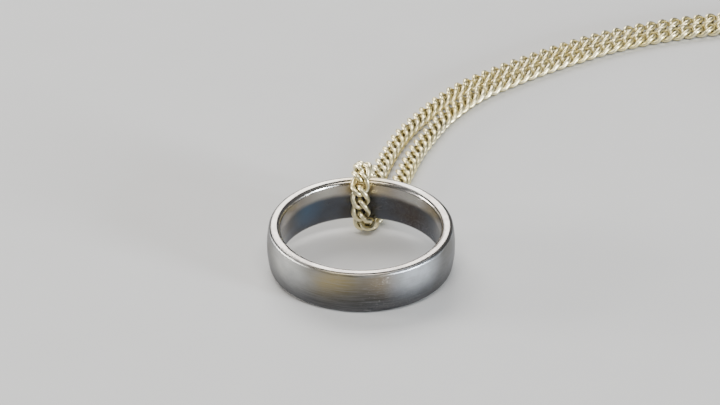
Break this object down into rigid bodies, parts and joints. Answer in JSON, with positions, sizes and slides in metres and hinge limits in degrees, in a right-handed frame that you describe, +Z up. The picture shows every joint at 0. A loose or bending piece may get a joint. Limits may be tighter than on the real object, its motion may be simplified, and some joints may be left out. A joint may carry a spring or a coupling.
{
  "type": "ring and chain puzzle",
  "caption": "Plain comfort-fit metal band ring threaded on a loop of flat curb chain, the slack chain put away in a flat coil.",
  "frame": {"origin": "on the floor under the middle of the ring", "axes": "+Z up from the floor; +Y from the ring's middle towards the stretch of wall the chain passes round; +X to the right seen from the ring's free side"},
  "size_m": [0.1029, 0.0835, 0.0085],
  "materials": {
    "ring": "satin outside, polished rims and inside",
    "chain": "polished pale gold"
  },
  "bodies": {
    "ring": {"ring": "ring"},
    "hitch": {"hitch_over_rim": "chain", "hitch_under_wall": "chain"},
    "strand_1": {"near_strand_1": "chain", "far_strand_1": "chain"},
    "strand_2": {"near_strand_2": "chain", "far_strand_2": "chain"},
    "strand_3": {"near_strand_3": "chain", "far_strand_3": "chain"},
    "strand_4": {"near_strand_4": "chain", "far_strand_4": "chain"},
    "coil": {"coil_01": "chain", "coil_02": "chain", "coil_03": "chain", "coil_04": "chain", "coil_05": "chain", "coil_06": "chain", "coil_07": "chain", "coil_08": "chain", "coil_09": "chain", "coil_10": "chain", "coil_11": "chain", "coil_12": "chain", "coil_13": "chain", "coil_14": "chain", "coil_15": "chain", "coil_16": "chain", "coil_17": "chain", "coil_18": "chain"}
  },
  "joints": [
    {"name": "ring_spin", "type": "hinge", "parent": "hitch", "child": "ring", "pos_m": [0, 0, 0.00348], "axis": [0, -0.075, 0.9972], "continuous": true},
    {"name": "fold_1", "type": "hinge", "parent": "strand_1", "child": "hitch", "pos_m": [0.00344, 0.02159, 0.00072], "axis": [-0.9128, 0.4083, 0], "range_deg": [-35, 28]},
    {"name": "fold_2", "type": "hinge", "parent": "strand_2", "child": "strand_1", "pos_m": [0.00734, 0.03443, 0.00072], "axis": [-0.9126, 0.4088, 0], "range_deg": [-35, 35]},
    {"name": "fold_3", "type": "hinge", "parent": "strand_3", "child": "strand_2", "pos_m": [0.01406, 0.046, 0.00072], "axis": [-0.9102, 0.4142, 0], "range_deg": [-25, 35]},
    {"name": "fold_4", "type": "hinge", "parent": "strand_4", "child": "strand_3", "pos_m": [0.02345, 0.05438, 0.00072], "axis": [-0.5069, 0.862, 0], "range_deg": [-35, 32]},
    {"name": "fold_5", "type": "hinge", "parent": "coil", "child": "strand_4", "pos_m": [0.03465, 0.06178, 0.00072], "axis": [-0.5063, 0.8624, 0], "range_deg": [-35, 35]}
  ]
}
